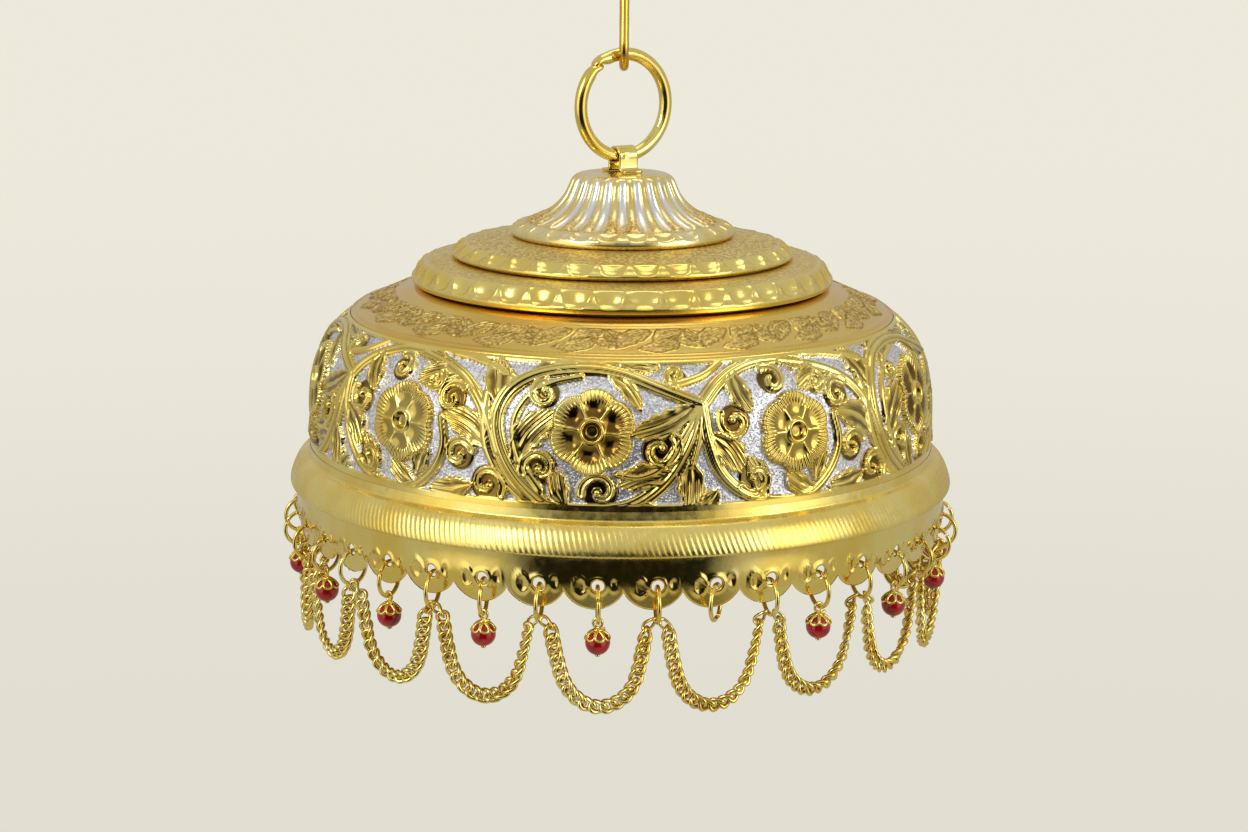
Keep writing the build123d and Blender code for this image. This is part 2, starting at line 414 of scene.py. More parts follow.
def two_tone():
    """Polished gold relief on a stippled silver ground, told apart by the mesh."""
    look = Look("gold_relief_on_silver")
    gold = look.attribute("gold")
    drift = look.noise(80.0, 2.0)
    warm = look.mix(look.ranged(drift, 0.36, 0.66), GOLD, GOLD_PALE)
    speck = look.noise(2300.0, 3.0)
    cold = look.mix(look.ranged(speck, 0.34, 0.62), (0.50, 0.51, 0.58, 1.0), (0.90, 0.91, 0.95, 1.0))
    # Painted shade and reflection: the hollows marked by the shade attribute are tinted deep brown, in
    # patches of varying strength.
    patches = look.ranged(look.noise(150.0, 2.0), 0.30, 0.60, 0.78, 0.98)
    painted_hollow_shade = look.times(look.attribute("shade"), patches)
    warm = look.mix(painted_hollow_shade, warm, (0.13, 0.066, 0.012, 1.0))
    look.colour(look.mix(gold, cold, warm))
    haze = look.ranged(look.noise(800.0, 3.0), 0.35, 0.7, 0.12, 0.24)
    look.roughness(look.blend(gold, 0.42, haze))
    punch = look.ranged(look.cells(2600.0), 0.05, 0.55)
    look.bump(look.times(punch, look.blend(gold, 1.0, 0.0)), 0.00010, 0.8)
    look.bump(look.hatch(), 0.00007, 0.9)
    return look.material


def striped_finial():
    """Gold flutes with bright silver stripes between them, sanded lower down."""
    look = Look("striped_finial")
    silver = look.attribute("silver")
    sand = look.attribute("sand")
    grain = look.noise(2000.0, 6.0)
    drift = look.noise(120.0, 2.0)
    gold = look.mix(look.ranged(drift, 0.36, 0.66), (0.86, 0.67, 0.22, 1.0), (0.90, 0.78, 0.42, 1.0))
    gritty = look.mix(look.ranged(grain, 0.40, 0.60), (0.36, 0.21, 0.04, 1.0), (0.88, 0.64, 0.18, 1.0))
    warm = look.mix(look.times(sand, 0.95), gold, gritty)
    look.colour(look.mix(silver, warm, (0.88, 0.87, 0.87, 1.0)))
    look.roughness(look.blend(sand, 0.24, 0.42))
    look.bump(look.times(grain, look.blend(sand, 0.2, 1.0)), 0.00005, 0.8)
    return look.material


def inside_metal():
    """The unpolished reverse of the pressing."""
    look = Look("reverse_of_pressing", roughness=0.4)
    drift = look.noise(45.0, 3.0)
    look.colour(look.mix(look.ranged(drift, 0.35, 0.65), (0.62, 0.42, 0.13, 1.0), (0.78, 0.60, 0.26, 1.0)))
    look.roughness(look.ranged(look.noise(500.0, 4.0), 0.3, 0.7, 0.3, 0.5))
    look.bump(look.noise(1800.0, 3.0), 0.00004, 0.6)
    return look.material


def red_glass():
    look = Look("red_glass_bead", metallic=0.0, roughness=0.06)
    depth = look.noise(420.0, 2.0)
    look.colour(look.mix(look.ranged(depth, 0.35, 0.7), (0.28, 0.002, 0.004, 1.0), (0.54, 0.005, 0.010, 1.0)))
    look.shader.inputs["Transmission Weight"].default_value = 0.05
    look.shader.inputs["IOR"].default_value = 1.52
    look.shader.inputs["Coat Weight"].default_value = 0.15
    look.shader.inputs["Coat Roughness"].default_value = 0.04
    look.bump(look.noise(600.0, 2.0), 0.00003, 0.4)
    return look.material


MIRROR = mirror_gold()
HATCHED = hatched_gold()
RELIEF = two_tone()
SHOULDER = sand_gold("sanded_shoulder_gold", GOLD_DEEP, (0.84, 0.60, 0.15, 1.0))
TIER = sand_gold("sanded_tier_gold", GOLD, GOLD_PALE)
FINIAL = striped_finial()
INSIDE = inside_metal()
GLASS = red_glass()
RING_WIRE = wire_gold("ring_wire_gold", GOLD, GOLD_PALE, (0.12, 0.22))
HOOK_WIRE = wire_gold("hook_wire_gold", (0.66, 0.40, 0.06, 1.0), (0.80, 0.54, 0.10, 1.0), (0.18, 0.30))
FINDINGS = wire_gold("findings_gold", GOLD, GOLD_PALE, (0.16, 0.28))
CHAIN = wire_gold("chain_gold", (0.82, 0.60, 0.14, 1.0), (0.90, 0.74, 0.26, 1.0), (0.16, 0.30))


# ---- Pressed ornament -----------------------------------------------------------
class Relief:
    """Raised ornament on a flat pattern: x runs round, w runs up the wall, in mm."""

    def __init__(self, x, w, period, fullness=1.0):
        self.fullness = fullness
        self.x = x
        self.w = w
        self.period = period
        self.height = np.zeros(x.shape)
        self.gold = np.zeros(x.shape)
        self.phase = np.zeros(x.shape)
        self.amount = np.zeros(x.shape)
        # painted shade for the hollows of the pressing
        self.shade = np.zeros(x.shape)
        # painted shade along leaf outlines and midribs
        self.line = np.zeros(x.shape)

    def shifts(self, low, high):
        """The whole periods by which an ornament that spans low to high is repeated."""
        for k in (-1, 0, 1):
            if high + k * self.period > self.x.min() and low + k * self.period < self.x.max():
                yield k * self.period

    def raise_by(self, where, height, phase=0.0, amount=0.0, shade=0.0):
        old = self.height[where]
        over = height > old
        self.height[where] = np.where(over, height, old)
        on = smoothstep(0.02, 0.14, height)
        self.gold[where] = np.maximum(self.gold[where], on)
        self.phase[where] = np.where(over, phase, self.phase[where])
        self.amount[where] = np.where(over, amount, self.amount[where])
        self.shade[where] = np.where(over, shade, self.shade[where])

    def near(self, line, reach):
        """For each copy: the points in reach, their distance, side and place along the line."""
        low = line.min(0) - reach
        high = line.max(0) + reach
        for shift in self.shifts(low[0], high[0]):
            where = ((self.x > low[0] + shift) & (self.x < high[0] + shift)
                     & (self.w > low[1]) & (self.w < high[1]))
            if not where.any():
                continue
            p = np.stack([self.x[where] - shift, self.w[where]], -1)
            a, b = line[:-1], line[1:]
            run = b - a
            size = np.maximum((run ** 2).sum(1), 1e-9)
            t = np.clip(((p[:, None] - a) * run).sum(2) / size, 0, 1)
            gap = p[:, None] - (a + t[..., None] * run)
            far = (gap ** 2).sum(2)
            best = far.argmin(1)
            pick = np.arange(len(p))
            side = np.sign(run[best, 0] * gap[pick, best, 1] - run[best, 1] * gap[pick, best, 0])
            along = (best + t[pick, best]) / len(run)
            yield where, np.sqrt(far[pick, best]), side, along

    def stem(self, points, start, end, tall=1.0, grooves=True):
        """A rounded strand with a groove down each side of its middle."""
        line = rounded_line(points, 0.6)
        for where, away, _side, along in self.near(line, max(start, end) + 0.3):
            q = away / (start + (end - start) * along)
            body = np.sqrt(np.clip(1.0 - q ** 2, 0, 1)) * tall
            cut = np.exp(-((q - 0.42) / 0.14) ** 2) if grooves else 0.0 * q
            body = np.clip(body - 0.30 * tall * cut, 0, None) * (q < 1)
            # Painted shade in the side grooves and along the strand's edges.
            self.raise_by(where, body, shade=np.maximum(0.55 * cut, 0.7 * smoothstep(0.80, 1.0, q)))

    def leaf(self, base, tip, width, bend=0.0, tall=0.95, lines=0.62):
        """A pointed leaf with a sunk midrib and slanting veins."""
        base, tip = np.array(base, float), np.array(tip, float)
        width = width * self.fullness
        run = tip - base
        size = np.linalg.norm(run)
        across = np.array([-run[1], run[0]]) / size
        line = rounded_line([base, (base + tip) / 2 + across * bend, tip], 0.5)
        for where, away, side, along in self.near(line, width / 2 + 0.2):
            lobes = 1.0 + 0.10 * np.cos(along * 2 * pi * size / 2.6)
            half = width / 2 * np.sin(pi * np.clip(along, 0.01, 0.99) ** 1.1) ** 0.6 * lobes
            q = away / np.maximum(half, 0.05)
            dished = 0.50 + 0.50 * np.clip(q / 0.8, 0, 1) ** 2 + 0.22 * np.exp(-(q / 0.14) ** 2)
            body = tall * dished * smoothstep(1.0, 0.84, q)
            phase = side * away / lines
            amount = smoothstep(0.30, 0.55, along) * smoothstep(0.95, 0.8, q)
            # Painted shade in the dished face of the leaf.
            hollow = smoothstep(0.80, 0.35, q) * smoothstep(0.10, 0.26, q) * smoothstep(0.92, 0.60, along)
            self.raise_by(where, body * (q < 1), phase, amount, 0.85 * hollow)
            # Painted shade along the leaf's outline and down its midrib.
            painted_edge_shade = np.exp(-((away - half) / 0.13) ** 2) + 0.7 * np.exp(-(away / 0.10) ** 2)
            self.line[where] = np.maximum(self.line[where], np.clip(painted_edge_shade, 0, 1))

    def volute(self, centre, radius, start, hand):
        """A strand that curls in to a small knob, over a dish."""
        turns, thick, tall = 0.98, 0.86, 1.1
        t = np.linspace(0, 1, 60)
        angle = radians(start) + hand * turns * 2 * pi * t
        r = radius * ((1 - t) ** 0.8 * 0.76 + 0.12)
        line = np.stack([centre[0] + r * np.cos(angle), centre[1] + r * np.sin(angle)], -1)
        for where, away, _side, along in self.near(line, thick + 0.2):
            q = away / (thick * (1.0 - 0.45 * along))
            body = tall * (0.62 + 0.38 * np.clip(q / 0.75, 0, 1) ** 2) * smoothstep(1.0, 0.8, q)
            # Painted shade in the strand's dished middle.
            self.raise_by(where, body * (q < 1), shade=0.5 * smoothstep(0.4, 0.1, q))
        self.knob(line[-1], thick * 0.85, tall * 1.1)
        self.dish(centre, radius * 0.95, 0.26 * tall)

    def spot(self, centre, radius):
        """The points round a centre, and their distance from it."""
        line = np.array([centre, (centre[0] + 0.01, centre[1])], float)
        for where, away, _side, _along in self.near(line, radius):
            yield where, away

    def knob(self, centre, radius, tall):
        for where, away in self.spot(centre, radius):
            self.raise_by(where, np.sqrt(np.clip(1 - (away / radius) ** 2, 0, 1)) * tall)

    def dish(self, centre, radius, tall):
        """A low gold ground inside a curl, darkened all over with painted shade."""
        for where, away in self.spot(centre, radius):
            self.raise_by(where, tall * smoothstep(radius, radius * 0.8, away), shade=1.0)

    def flower(self, centre, radius, petals, turn, tall=1.15, sunk=0.75):
        """Dished petals with pinked edges round a ringed eye."""
        for shift in self.shifts(centre[0] - radius, centre[0] + radius):
            dx = self.x - centre[0] - shift
            dw = self.w - centre[1]
            away = np.hypot(dx, dw)
            where = away < radius * 1.05
            away = away[where]
            angle = np.arctan2(dw[where], dx[where]) - turn
            petal = np.abs(np.cos(angle * petals / 2))
            edge = radius * (0.88 + 0.12 * petal ** 0.7)
            q = away / edge
            rim = smoothstep(1.0, 0.93, q)
            hollow = petal ** 0.6 * np.exp(-((q - 0.50) / 0.23) ** 2)
            bowl = 1.0 - sunk * hollow
            body = tall * rim * bowl
            eye = 0.235 * radius
            ring = np.exp(-((away - eye) / (0.055 * radius)) ** 2)
            pit = smoothstep(eye, eye * 0.5, away)
            moat = smoothstep(eye * 1.45, eye * 1.1, away)
            body = body * (1 - moat) + moat * tall * (0.55 + 0.65 * ring - 0.35 * pit)
            amount = smoothstep(0.62, 0.78, q) * smoothstep(1.0, 0.95, q)
            # Painted shade in the petal bowls and the eye's pit.
            dark = np.maximum(smoothstep(0.10, 0.50, hollow) * (1 - moat), pit) * min(1.0, sunk * 1.15)
            self.raise_by(where, body, angle / (2 * pi) * 54, amount * 1.6, dark)


# ---- Dome: band, shoulder and reverse -------------------------------------------
BAND_SECTORS = 5
BAND_MM_PER_RADIAN = 59.2
FLOWER_BEARING = radians(-4.8)
BAND_PROFILE = [(59.7, 7.2), (59.4, 11.4), (59.2, 15.9), (58.7, 20.3), (57.9, 23.5), (56.9, 26.0),
                (55.8, 27.9), (54.1, 29.8), (51.6, 31.9)]
SHOULDER_PROFILE = [(51.6, 31.9), (50.6, 32.7), (49.3, 33.3), (47.2, 34.1), (45.3, 34.9), (42.8, 36.1),
                    (40.3, 37.1), (38.4, 37.5)]


KNOT = (19.4, 18.5)                # where the strands meet between the two flowers


def band_ornament(x, w, period):
    """The scrolling vine: an open-faced flower and a closed one in each repeat."""
    art = Relief(x, w, period, 1.30)
    # the trunk that arches over the first flower, and the thinner strands beside it
    art.stem([(-8.0, 0.6), (-13.2, 5.2), (-16.4, 10.5), (-17.4, 16.0), (-15.2, 21.0), (-9.8, 24.4),
              (-2.0, 25.6), (5.0, 24.6), (12.0, 21.6), KNOT], 1.6, 1.3, 1.15)
    art.stem([(-9.0, 3.4), (-12.6, 8.6), (-14.0, 14.6), (-12.0, 19.4), (-7.6, 22.4), (-2.4, 23.8)],
             0.95, 0.6, 0.9, False)
    art.stem([(-9.6, -0.2), (-15.4, 4.6), (-18.6, 9.6), (-19.6, 14.4), (-19.8, 19.4)], 0.9, 1.0, 0.95, False)
    art.stem([(-16.8, 9.5), (-18.8, 14.5), (-21.5, 18.6), (-25.4, 22.0), (-30.6, 24.4), (-37.2, 26.0)],
             1.4, 1.1)
    art.stem([(-15.0, 22.6), (-19.6, 24.9), (-25.6, 26.4), (-30.0, 26.8)], 1.0, 0.8, 0.85, False)
    # under the flower and up to the knot between the flowers
    art.stem([(-8.0, 0.6), (-1.0, 0.0), (6.5, 1.0), (12.6, 5.2), (16.6, 11.3), KNOT], 1.35, 1.35)
    art.stem([KNOT, (22.5, 21.8), (26.5, 24.6), (31.5, 26.2), (38.0, 26.4)], 1.5, 1.1)
    art.stem([(14.0, 22.0), (20.0, 23.8), (24.4, 26.6)], 1.0, 0.8, 0.9, False)
    art.stem([KNOT, (20.2, 12.5), (22.4, 6.8), (26.6, 2.8), (33.0, 0.7), (39.5, 1.2), (44.4, 4.6),
              (46.8, 9.4), (46.0, 14.6)], 1.3, 0.9, 1.0)
    art.stem([KNOT, (18.4, 12.5), (17.2, 8.0)], 1.2, 0.8)
    art.stem([KNOT, (15.9, 13.2), (12.4, 8.2), (8.4, 6.2), (4.4, 6.6)], 0.9, 0.6, 0.95, False)
    # inside the first flower's ring
    art.volute((-9.0, 7.3), 3.5, 200, -1)
    art.leaf((-13.8, 8.0), (-6.6, 17.2), 4.6, 1.0)
    art.leaf((-4.4, 0.8), (-6.2, 7.2), 3.2, 0.4)
    art.volute((1.4, 3.6), 3.7, 190, -1)
    art.volute((-8.8, 20.2), 3.0, 100, 1)
    art.volute((11.8, 10.8), 3.7, 40, -1)
    art.leaf((18.4, 18.4), (6.6, 13.4), 3.6, 0.7)
    art.leaf((14.2, 6.6), (4.6, 4.6), 3.8, -0.8)
    art.leaf((17.0, 9.0), (17.0, 0.6), 3.9, 0.2)
    art.leaf((2.6, 24.2), (8.6, 17.6), 2.4, 0.8)
    # round the second flower
    art.volute((25.2, 15.2), 3.5, 150, 1)
    art.leaf((20.6, 13.2), (26.2, 6.6), 4.2, 0.7)
    art.volute((28.8, 5.2), 3.5, 210, 1)
    art.volute((15.2, 24.0), 2.3, 250, -1)
    art.leaf((26.0, 24.4), (28.6, 16.8), 3.6, -0.6)
    art.volute((33.8, 22.2), 3.1, 120, -1)
    art.leaf((41.0, 1.8), (35.0, 5.4), 3.2, 0.5)
    art.volute((43.2, 20.6), 2.2, 60, -1)
    # left of the trunk
    art.leaf((-17.4, 18.0), (-20.2, 26.4), 4.6, -0.5)
    art.volute((-26.8, 18.0), 3.4, 40, 1)
    art.leaf((-26.6, 22.6), (-35.4, 20.2), 3.8, -0.8)
    art.leaf((-18.4, 10.0), (-27.6, 15.2), 4.4, -1.1)
    art.volute((-24.2, 8.4), 3.2, 20, 1)
    art.leaf((-21.4, 3.4), (-30.0, 1.9), 3.5, 0.6)
    art.volute((-18.6, 3.8), 3.7, 330, 1)
    art.leaf((-12.0, 24.6), (-3.4, 26.9), 3.0, 0.5)
    art.leaf((4.6, 26.6), (12.4, 25.6), 2.8, 0.3)
    art.leaf((31.0, 1.6), (27.6, 8.8), 3.2, -0.5)
    art.leaf((36.8, 25.8), (43.0, 24.2), 3.0, 0.4)
    art.leaf((-33.4, 3.4), (-31.0, 9.4), 3.0, 0.4)
    art.leaf((8.4, 1.4), (11.6, -0.6), 2.0, 0.2)
    art.leaf((22.0, 3.6), (18.6, 0.4), 3.0, 0.3)
    # the flowers lie over the vine
    art.flower((0.0, 13.9), 7.8, 6, radians(24), 1.25, 0.85)
    art.flower((period / 2, 12.6), 7.4, 6, radians(30), 1.2, 0.5)
    return art


GROUND_DEPTH = 0.55      # how far the ground of the pressing lies under the wall's own line


def build_band():
    profile = rounded_line(BAND_PROFILE, 0.21)
    length = lengths(profile)
    sector = 2 * pi / BAND_SECTORS
    local = np.linspace(-sector / 2, sector / 2, 350)
    x, w = np.meshgrid(local * BAND_MM_PER_RADIAN, length)
    art = band_ornament(x, w, sector * BAND_MM_PER_RADIAN)
    foot = smoothstep(1.5, 1.2, w)
    head = smoothstep(length[-1] - 0.9, length[-1] - 0.6, w)
    between = (1 - foot) * (1 - head)
    lift = art.height * between + foot * 0.55 + 0.85 * head - GROUND_DEPTH
    # shade carries the painted shade of the hollows to the material.
    layers = {"gold": np.maximum(np.maximum(art.gold, foot), head), "hatch_phase": art.phase,
              "hatch_amount": art.amount * between, "shade": art.shade * between}
    for number in range(BAND_SECTORS):
        angles = local + FLOWER_BEARING + number * sector
        turned_piece(f"embossed_band_{number + 1}", profile, angles, lift, RELIEF,
                     ("dome_shell",) if number == 0 else (), layers, closed=False)
    return profile, lift


def build_shoulder():
    """The matte slope above the band, with its engraved leaf garland."""
    profile = rounded_line(SHOULDER_PROFILE, 0.32)
    angles = full_turn(1240)
    middle_r = 46.0
    units = 20
    x, w = np.meshgrid(angles * middle_r, lengths(profile))
    art = Relief(x, w, 2 * pi * middle_r)
    base = 3.5
    leaves = [(-0.6, 0.4, 5.2, 5.2, 4.0, 1.1, 0.36, 0.6), (3.0, 0.1, 10.2, 3.2, 3.6, -1.0, 0.34, 0.6),
              (1.0, 2.4, -2.8, 5.4, 3.2, 0.5, 0.32, 0.55), (5.6, 2.6, 11.2, 5.4, 3.4, 0.8, 0.32, 0.55),
              (9.2, 2.7, 13.6, 0.3, 2.8, 0.7, 0.32, 0.55)]
    for k in range(units):
        at = k * 2 * pi * middle_r / units
        for x0, w0, x1, w1, width, bend, tall, lines in leaves:
            art.leaf((at + x0, base + w0), (at + x1, base + w1), width, bend, tall, lines)
    ridge = 0.42 * np.exp(-((w - 0.3) / 0.28) ** 2) + 0.36 * np.exp(-((w - 1.3) / 0.25) ** 2)
    for groove in (9.9, 10.7):
        ridge = ridge - 0.10 * np.exp(-((w - groove) / 0.16) ** 2)
    garland = 1 - smoothstep(9.2, 9.5, w)
    # line carries the painted shade along the leaf outlines.
    layers = {"sand": smoothstep(0.02, 0.10, art.height) * garland, "hatch_phase": art.phase,
              "hatch_amount": art.amount * garland, "line": art.line * garland}
    turned_piece("engraved_shoulder", profile, angles, art.height * garland + ridge, SHOULDER,
                 (), layers)


def build_reverse(band_profile, band_lift):
    """The inside of the dome, with the back of the pressing showing through."""
    shoulder = rounded_line(SHOULDER_PROFILE + [(32.5, 37.5)], 0.8)
    profile = np.vstack([band_profile[::3], shoulder[1:]])
    repeat = np.tile(band_lift[::3, :-1:3][:, :(band_lift.shape[1] - 1) // 3], (1, BAND_SECTORS))
    lift = np.zeros((len(profile), repeat.shape[1]))
    lift[:len(repeat)] = repeat * 0.8
    angles = FLOWER_BEARING - pi / BAND_SECTORS + full_turn(repeat.shape[1])
    reverse_piece("dome_reverse", profile, angles, lift)


# ---- Tiers and finial -----------------------------------------------------------
def scoops(angles, w, count, low, high, deep):
    """A row of scooped lobes, with pointed facets standing up between them."""
    turn = angles * count / (2 * pi)
    across = np.abs((turn % 1.0) - 0.5) * 2
    up = np.clip((w - low) / (high - low), 0, 1)
    half = 0.52 + 0.46 * up ** 0.8
    q = np.clip(across / half, 0, 1)
    bowl = (1 - q ** 2) * np.sin(pi * up) ** 0.6
    zone = smoothstep(low - 0.25, low, w) * smoothstep(high + 0.25, high, w)
    ridge = np.exp(-((across - half) / 0.07) ** 2) * np.sin(pi * up) ** 0.5
    return 0.20 * zone + 0.10 * ridge - deep * bowl, zone * (q >= 1)


def build_tier(name, node, profile_points, count, turn, columns, low, high, sand_from, grain):
    profile = rounded_line(profile_points, 0.24)
    angles = full_turn(columns)
    a, w = np.meshgrid(angles, lengths(profile))
    lift, facets = scoops(a - turn, w, count, low, high, 0.62)
    top = smoothstep(sand_from, sand_from + 0.6, w)
    groove = -0.16 * np.exp(-((w - low + 0.75) / 0.16) ** 2)
    # Painted shade: a dark band under the tier's lip, carried by the line attribute.
    underside = smoothstep(low - 1.7, low - 2.5, w)
    turned_piece(name, profile, angles, lift + groove, TIER, (node,),
                 {"sand": np.maximum(facets * 0.3, top * grain), "line": 0.95 * underside})
    reverse_piece(name + "_reverse", profile[::3], angles[::4])


def build_finial():
    lip = [(18.6, 46.5), (20.3, 46.5), (21.0, 46.9), (21.2, 47.4), (20.9, 48.0), (20.3, 48.5)]
    flare = [(18.9, 49.0), (17.2, 49.6), (14.4, 50.8), (12.3, 52.4), (11.0, 54.0), (10.2, 55.6), (9.5, 57.2),
             (8.7, 58.1), (7.6, 58.4), (5.0, 58.45), (1.6, 58.5)]
    profile = rounded_line(lip + flare, 0.24)
    length = lengths(profile)
    top = length[-1]
    angles = full_turn(768)
    a, w = np.meshgrid(angles, length)
    ribs = 24
    scallops, _facets = scoops(a, w, ribs, 3.7, 6.6, 0.42)
    wave = -np.cos(a * ribs)
    flute = smoothstep(6.4, 8.2, w) * smoothstep(top - 6.4, top - 9.0, w)
    flute *= (profile[:, 0][:, None] / 17.0) ** 0.7
    lift = scallops + 0.42 * flute * np.sign(wave) * np.abs(wave) ** 0.6
    patchy = 0.5 + 0.5 * np.cos(a * 3.0) * np.cos(a * 7.0)
    sand = smoothstep(15.5, 8.5, w) * smoothstep(6.2, 6.9, w) * (0.3 + 0.7 * patchy)
    stripe = smoothstep(0.10, -0.30, wave) * smoothstep(6.9, 9.4, w) * smoothstep(top - 6.8, top - 8.8, w)
    turned_piece("fluted_finial", profile, angles, lift, FINIAL, ("finial_shell",),
                 {"silver": stripe * (1 - 0.85 * sand), "sand": np.clip(sand, 0, 1)})
    inner, inner_angles = profile[::3], angles[::6]
    sides = len(inner_angles)
    faces = [tuple(face) for face in grid_faces(len(inner), sides, True)[:, ::-1]]
    verts = turned(inner, inner_angles, np.full((len(inner), sides), -SHEET))
    last = len(verts) - sides
    for k in range(sides):
        faces.append((last + (k + 1) % sides, last + k, len(verts)))
    verts = np.vstack([verts, [[0, 0, 58.0]]])
    make_piece("finial_reverse", verts, faces, INSIDE, "canopy")
    disc = rounded_line([(1.8, 58.48), (1.0, 58.5), (0.05, 58.5)], 0.3)
    plain = np.zeros(len(disc) * 48)
    turned_piece("finial_eye", disc, angles[::16], None, FINIAL, (),
                 {"silver": plain, "sand": plain})


# ---- Rim and skirt --------------------------------------------------------------
def build_rim():
    """The rolled rim with its slanting cuts, and the plain cove above it."""
    profile = rounded_line([(61.9, 0.35), (62.5, -0.05), (63.1, -0.05), (63.45, 0.2), (63.5, 0.6),
                            (63.4, 1.2), (63.1, 2.1), (62.65, 3.2), (62.0, 4.3), (61.2, 5.1),
                            (60.5, 5.45), (60.05, 5.7), (59.95, 6.2), (59.75, 7.3)], 0.19)
    cuts = 380
    angles = full_turn(cuts * 4)
    a, w = np.meshgrid(angles, lengths(profile))
    slant = w / 5.0 * 1.9 + 0.25 * np.sin(w / 5.0 * pi)
    wear = 0.62 + 0.38 * np.sin(a * 5 + 1.2) * np.sin(a * 2 + 0.4)
    wave = np.cos(a * cuts + slant * 2 * pi)
    zone = smoothstep(0.9, 1.3, w) * smoothstep(7.1, 6.5, w)
    lift = -0.14 * wear * (0.5 + 0.5 * wave) ** 2 * zone
    turned_piece("hatched_rim", profile, angles, lift, HATCHED, ("rim_skirt",))
    reverse_piece("rim_reverse", profile[::2], angles[::4])


HOLE_Z = -5.2
HOLE_RADIUS = 1.12
LOBE_NOTCH = -6.4
LOBE_BOTTOM_R = 61.6
CREASE_R = 62.9
SKIRT_SLOPE = (LOBE_BOTTOM_R - CREASE_R) / LOBE_BOTTOM
LOBE_SHIFT = -0.75      # each lobe sits a little to the left of its hole


def lobe_outline():
    """The edge of one lobe round its hole, in mm along the skirt and height."""
    half = CREASE_R * PITCH / 2
    depth = LOBE_NOTCH - LOBE_BOTTOM
    radius = (half ** 2 + depth ** 2) / (2 * depth)
    sweep = np.arcsin(half / radius)
    sides = 7
    bottom = 22
    top = 16
    left = np.stack([np.full(sides, -half), np.linspace(0, LOBE_NOTCH, sides, endpoint=False)], -1)
    turn = np.linspace(-sweep, sweep, bottom, endpoint=False)
    low = np.stack([radius * np.sin(turn), LOBE_BOTTOM + radius * (1 - np.cos(turn))], -1)
    right = np.stack([np.full(sides, half), np.linspace(LOBE_NOTCH, 0, sides, endpoint=False)], -1)
    head = np.stack([np.linspace(half, -half, top, endpoint=False), np.zeros(top)], -1)
    return np.vstack([left, low, right, head])


def skirt_emboss(x, z):
    """Relief pressed into a lobe, measured from its own middle."""
    hole_x = -LOBE_SHIFT
    away = np.hypot(x - hole_x, z - HOLE_Z)
    collar = 0.24 * np.exp(-((away - HOLE_RADIUS - 0.32) / 0.30) ** 2)
    fan_x, fan_z = x + 2.25, z + 5.3
    fan = np.hypot(fan_x / 1.45, fan_z / 2.2)
    crescent = 0.30 * smoothstep(1.0, 0.75, fan) - 0.34 * smoothstep(0.72, 0.45, fan)
    ribs = 0.10 * np.sin((fan_x * 0.8 + fan_z) * 2 * pi / 0.85) * smoothstep(0.9, 0.6, fan)
    dimple = -0.22 * np.exp(-(((x - 3.55) / 0.55) ** 2 + ((z + 4.6) / 0.75) ** 2))
    dimple += 0.14 * np.exp(-((np.hypot((x - 3.55) / 0.8, (z + 4.8) / 1.15) - 1.0) / 0.3) ** 2)
    away_from_crease = smoothstep(-0.4, -1.6, z)
    return (collar + crescent + ribs + dimple) * away_from_crease


def build_skirt():
    """Scalloped, pierced lobes: one made round its hole, then turned to every place."""
    outline = lobe_outline()
    hole = np.array([-LOBE_SHIFT, HOLE_Z])
    towards = np.arctan2(outline[:, 1] - hole[1], outline[:, 0] - hole[0])
    start = hole + HOLE_RADIUS * np.stack([np.cos(towards), np.sin(towards)], -1)
    rings = 13
    ease = np.linspace(0, 1, rings) ** 1.15
    flat = start[None] + ease[:, None, None] * (outline - start)[None]
    rings, around = flat.shape[:2]
    x, z = flat[..., 0].ravel(), flat[..., 1].ravel()
    r = CREASE_R + z * SKIRT_SLOPE + skirt_emboss(x, z) - 0.45 * smoothstep(-5.5, 0.0, z)
    faces_one = grid_faces(rings, around, True)[:, ::-1]
    verts, faces, back = [], [], []
    for lobe in range(SCALLOPS):
        angle = bearing(lobe) + x / CREASE_R + LOBE_SHIFT / CREASE_R
        verts.append(np.stack([r * np.sin(angle), -r * np.cos(angle), z], -1))
        back.append(np.stack([(r - SHEET) * np.sin(angle), -(r - SHEET) * np.cos(angle), z], -1))
        faces.append(faces_one + lobe * len(x))
    front_faces = np.vstack(faces)
    total = SCALLOPS * len(x)
    walls = []
    for lobe in range(SCALLOPS):
        inner = lobe * len(x)
        outer = inner + (rings - 1) * around
        for k in range(around):
            n = (k + 1) % around
            walls.append((inner + k, inner + n, inner + n + total, inner + k + total))
            if max(outline[k, 1], outline[n, 1]) <= LOBE_NOTCH + 0.01:
                walls.append((outer + n, outer + k, outer + k + total, outer + n + total))
    all_faces = [tuple(f) for f in front_faces] + [tuple(f[::-1] + total) for f in front_faces] + walls
    make_piece("scalloped_skirt", np.vstack(verts + back), all_faces, MIRROR, "canopy",
               weld=0.002 * MM)


# ---- Hook, ring and strap ---------------------------------------------------------
SEAT_Z = -CREASE_Z
HOOK_WIRE_R = 0.9
HOOK_LOWER_R = 3.4
HOOK_UPPER_R = 6.5
HOOK_SPACING = 34.0
RING_R = 9.6
RING_Z = 71.15
RING_YAW = radians(34.0)
STRAP_Z = RING_Z - RING_R
FINIAL_TOP = 58.4


